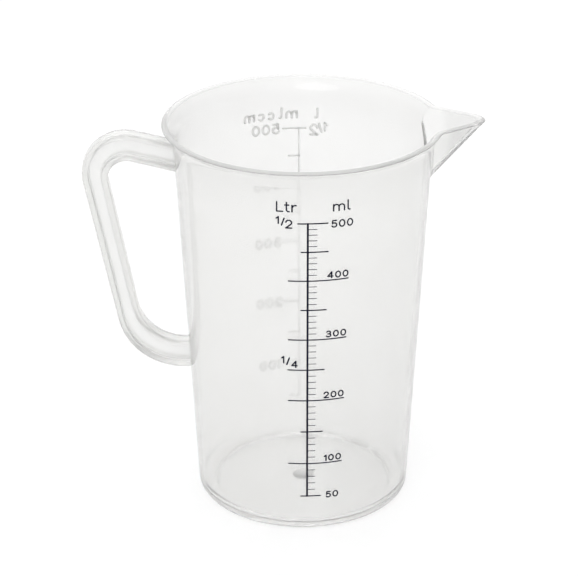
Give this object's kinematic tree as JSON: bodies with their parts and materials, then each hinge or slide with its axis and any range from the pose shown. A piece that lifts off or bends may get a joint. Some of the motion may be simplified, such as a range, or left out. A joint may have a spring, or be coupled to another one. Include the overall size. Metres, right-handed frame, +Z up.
{
  "type": "measuring jug",
  "caption": "Tapered translucent half-litre measuring jug with a flared rim, V-shaped spout, I-section loop handle and a graduated scale on two sides.",
  "frame": {"origin": "centre of the flat underside, on the vessel's axis", "axes": "+Z up along the vessel's axis, +X towards the spout, -X towards the handle, printed scale faces -Y, raised scale faces +Y"},
  "size_m": [0.1317, 0.092, 0.133],
  "materials": {
    "polypropylene": "translucent natural polypropylene, satin with a faint grain",
    "ink": "dark navy printing ink, matt"
  },
  "bodies": {
    "root": {"base": "polypropylene", "gate_mark": "polypropylene", "handle": "polypropylene", "print_100_1_1": "ink", "print_100_2_0": "ink", "print_100_3_0": "ink", "print_200_1_2": "ink", "print_200_2_0": "ink", "print_200_3_0": "ink", "print_300_1_3": "ink", "print_300_2_0": "ink", "print_300_3_0": "ink", "print_400_1_4": "ink", "print_400_2_0": "ink", "print_400_3_0": "ink", "print_500_1_5": "ink", "print_500_2_0": "ink", "print_500_3_0": "ink", "print_50_1_5": "ink", "print_50_2_0": "ink", "print_half_1_slash": "ink", "print_half_over_1_1": "ink", "print_half_under_1_2": "ink", "print_litre_1_L": "ink", "print_litre_2_t": "ink", "print_litre_3_r": "ink", "print_millilitre_1_m": "ink", "print_millilitre_2_l": "ink", "print_quarter_1_slash": "ink", "print_quarter_over_1_1": "ink", "print_quarter_under_1_4": "ink", "print_scale": "ink", "raised_100_1_1": "polypropylene", "raised_100_2_0": "polypropylene", "raised_100_3_0": "polypropylene", "raised_200_1_2": "polypropylene", "raised_200_2_0": "polypropylene", "raised_200_3_0": "polypropylene", "raised_300_1_3": "polypropylene", "raised_300_2_0": "polypropylene", "raised_300_3_0": "polypropylene", "raised_400_1_4": "polypropylene", "raised_400_2_0": "polypropylene", "raised_400_3_0": "polypropylene", "raised_500_1_5": "polypropylene", "raised_500_2_0": "polypropylene", "raised_500_3_0": "polypropylene", "raised_ccm_1_c": "polypropylene", "raised_ccm_2_c": "polypropylene", "raised_ccm_3_m": "polypropylene", "raised_half_1_slash": "polypropylene", "raised_half_over_1_1": "polypropylene", "raised_half_under_1_2": "polypropylene", "raised_litre_1_l": "polypropylene", "raised_millilitre_1_m": "polypropylene", "raised_millilitre_2_l": "polypropylene", "raised_scale": "polypropylene", "rim": "polypropylene", "spout": "polypropylene", "vessel_wall": "polypropylene"}
  },
  "joints": []
}
